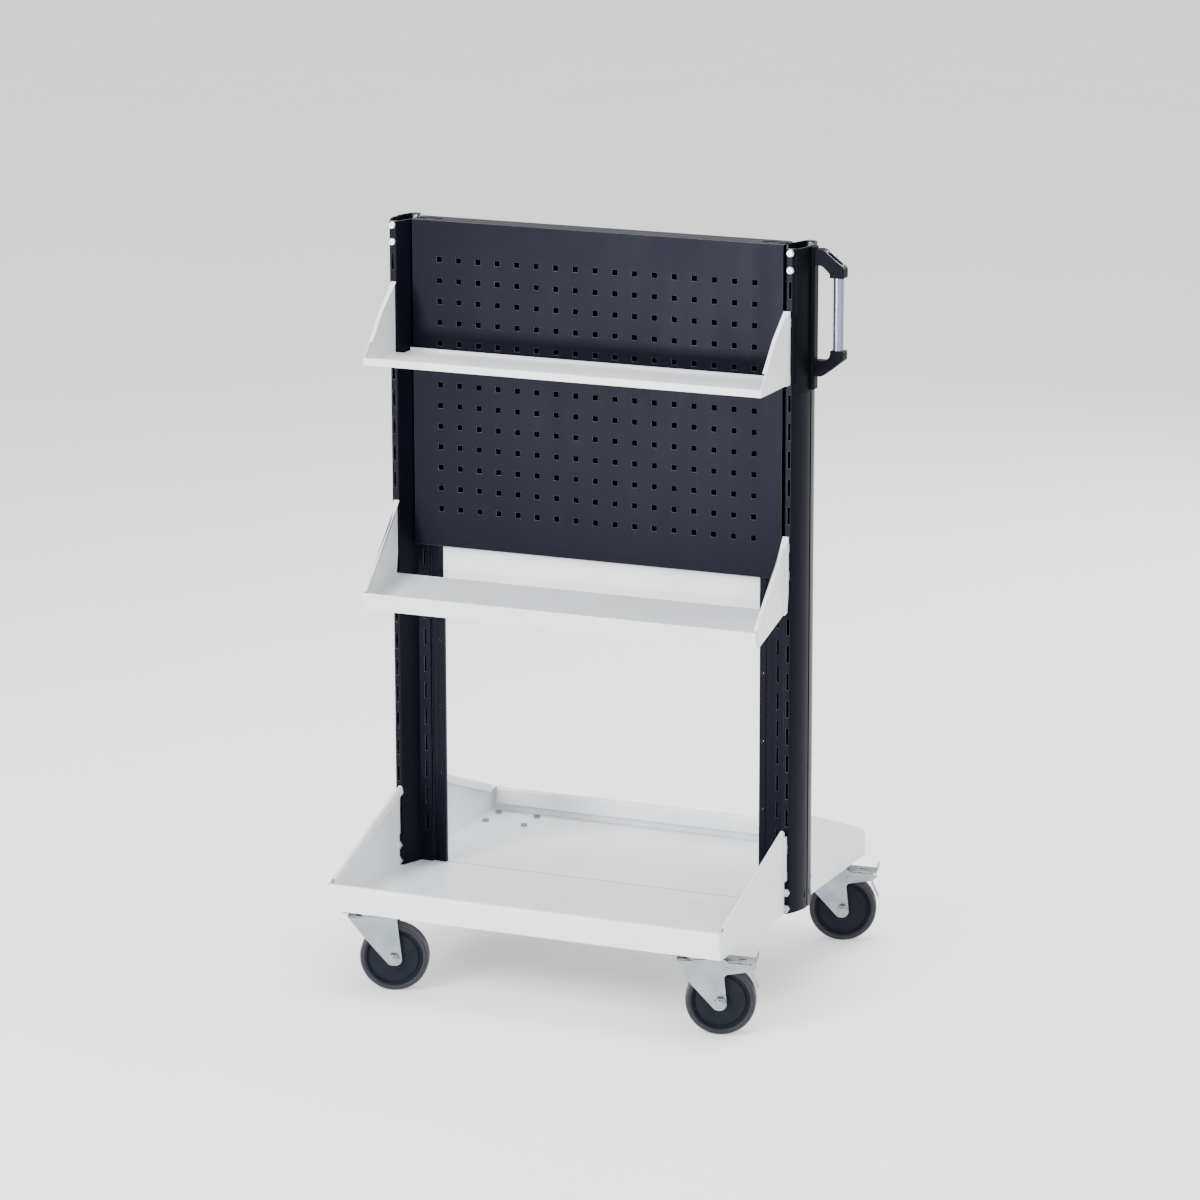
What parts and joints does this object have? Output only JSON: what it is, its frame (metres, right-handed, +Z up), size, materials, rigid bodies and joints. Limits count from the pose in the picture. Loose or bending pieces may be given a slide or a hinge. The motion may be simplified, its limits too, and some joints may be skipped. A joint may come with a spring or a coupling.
{
  "type": "workshop trolley",
  "caption": "Mobile workshop trolley: two slotted posts on a wheeled double tray, perforated tool panels, hook-in shelves and a side push handle.",
  "frame": {"origin": "on the floor, below the centre of the trolley's overall width and depth", "axes": "+Z up, -Y towards the front with the two shelves, +X towards the push handle"},
  "size_m": [0.867, 0.709, 1.355],
  "materials": {
    "anthracite_steel": "satin anthracite powder coat",
    "light_grey_steel": "satin light grey powder coat",
    "zinc": "bright zinc plating",
    "black_plastic": "matt moulded",
    "grip_aluminium": "satin anodised",
    "wheel_plastic": "satin moulded",
    "tread": "smooth thermoplastic rubber"
  },
  "bodies": {
    "frame": {"left_post": "anthracite_steel", "right_post": "anthracite_steel", "base_plate": "anthracite_steel", "cross_rail": "light_grey_steel", "rail_bolts": "anthracite_steel", "front_panel": "anthracite_steel", "rear_panel": "anthracite_steel", "front_tray": "light_grey_steel", "rear_tray": "light_grey_steel", "top_shelf": "light_grey_steel", "lower_shelf": "light_grey_steel", "top_screws": "zinc", "bottom_screws": "zinc", "nut_strips": "zinc", "handle_cover": "black_plastic", "handle_bar": "black_plastic", "handle_upper_arm": "black_plastic", "handle_lower_arm": "black_plastic", "handle_tube": "grip_aluminium", "handle_screws": "zinc", "castor_bolts": "zinc", "castor_nuts": "zinc", "swivel_cups": "zinc", "swivel_balls": "zinc", "front_left_plate": "zinc", "front_left_kingpin": "zinc", "front_right_plate": "zinc", "front_right_kingpin": "zinc", "rear_left_plate": "zinc", "rear_left_kingpin": "zinc", "rear_right_plate": "zinc", "rear_right_kingpin": "zinc"},
    "front_left_swivel": {"front_left_fork": "zinc", "front_left_axle": "zinc"},
    "front_left_roller": {"front_left_wheel": "wheel_plastic", "front_left_tyre": "tread", "front_left_bearing": "black_plastic"},
    "front_right_swivel": {"front_right_fork": "zinc", "front_right_axle": "zinc", "front_right_pedal_pin": "zinc"},
    "front_right_roller": {"front_right_wheel": "wheel_plastic", "front_right_tyre": "tread", "front_right_bearing": "black_plastic"},
    "rear_left_swivel": {"rear_left_fork": "zinc", "rear_left_axle": "zinc"},
    "rear_left_roller": {"rear_left_wheel": "wheel_plastic", "rear_left_tyre": "tread", "rear_left_bearing": "black_plastic"},
    "rear_right_swivel": {"rear_right_fork": "zinc", "rear_right_axle": "zinc", "rear_right_pedal_pin": "zinc"},
    "rear_right_roller": {"rear_right_wheel": "wheel_plastic", "rear_right_tyre": "tread", "rear_right_bearing": "black_plastic"},
    "front_right_brake": {"front_right_pedal": "zinc"},
    "rear_right_brake": {"rear_right_pedal": "zinc"}
  },
  "joints": [
    {"name": "front_left_swivel_turn", "type": "hinge", "parent": "frame", "child": "front_left_swivel", "pos_m": [-0.348, -0.298, 0.141], "axis": [0, 0, 1], "continuous": true},
    {"name": "front_left_wheel_roll", "type": "hinge", "parent": "front_left_swivel", "child": "front_left_roller", "pos_m": [-0.31182, -0.28483, 0.0625], "axis": [-0.342, 0.9397, 0], "continuous": true},
    {"name": "front_right_swivel_turn", "type": "hinge", "parent": "frame", "child": "front_right_swivel", "pos_m": [0.285, -0.298, 0.141], "axis": [0, 0, 1], "continuous": true},
    {"name": "front_right_wheel_roll", "type": "hinge", "parent": "front_right_swivel", "child": "front_right_roller", "pos_m": [0.32118, -0.28483, 0.0625], "axis": [-0.342, 0.9397, 0], "continuous": true},
    {"name": "rear_left_swivel_turn", "type": "hinge", "parent": "frame", "child": "rear_left_swivel", "pos_m": [-0.348, 0.298, 0.141], "axis": [0, 0, 1], "continuous": true},
    {"name": "rear_left_wheel_roll", "type": "hinge", "parent": "rear_left_swivel", "child": "rear_left_roller", "pos_m": [-0.31182, 0.31117, 0.0625], "axis": [-0.342, 0.9397, 0], "continuous": true},
    {"name": "rear_right_swivel_turn", "type": "hinge", "parent": "frame", "child": "rear_right_swivel", "pos_m": [0.285, 0.298, 0.141], "axis": [0, 0, 1], "continuous": true},
    {"name": "rear_right_wheel_roll", "type": "hinge", "parent": "rear_right_swivel", "child": "rear_right_roller", "pos_m": [0.32118, 0.31117, 0.0625], "axis": [-0.342, 0.9397, 0], "continuous": true},
    {"name": "front_right_brake_press", "type": "hinge", "parent": "front_right_swivel", "child": "front_right_brake", "pos_m": [0.33058, -0.28141, 0.123], "axis": [-0.342, 0.9397, 0], "range_deg": [0, 4.5]},
    {"name": "rear_right_brake_press", "type": "hinge", "parent": "rear_right_swivel", "child": "rear_right_brake", "pos_m": [0.33058, 0.31459, 0.123], "axis": [-0.342, 0.9397, 0], "range_deg": [0, 4.5]}
  ]
}
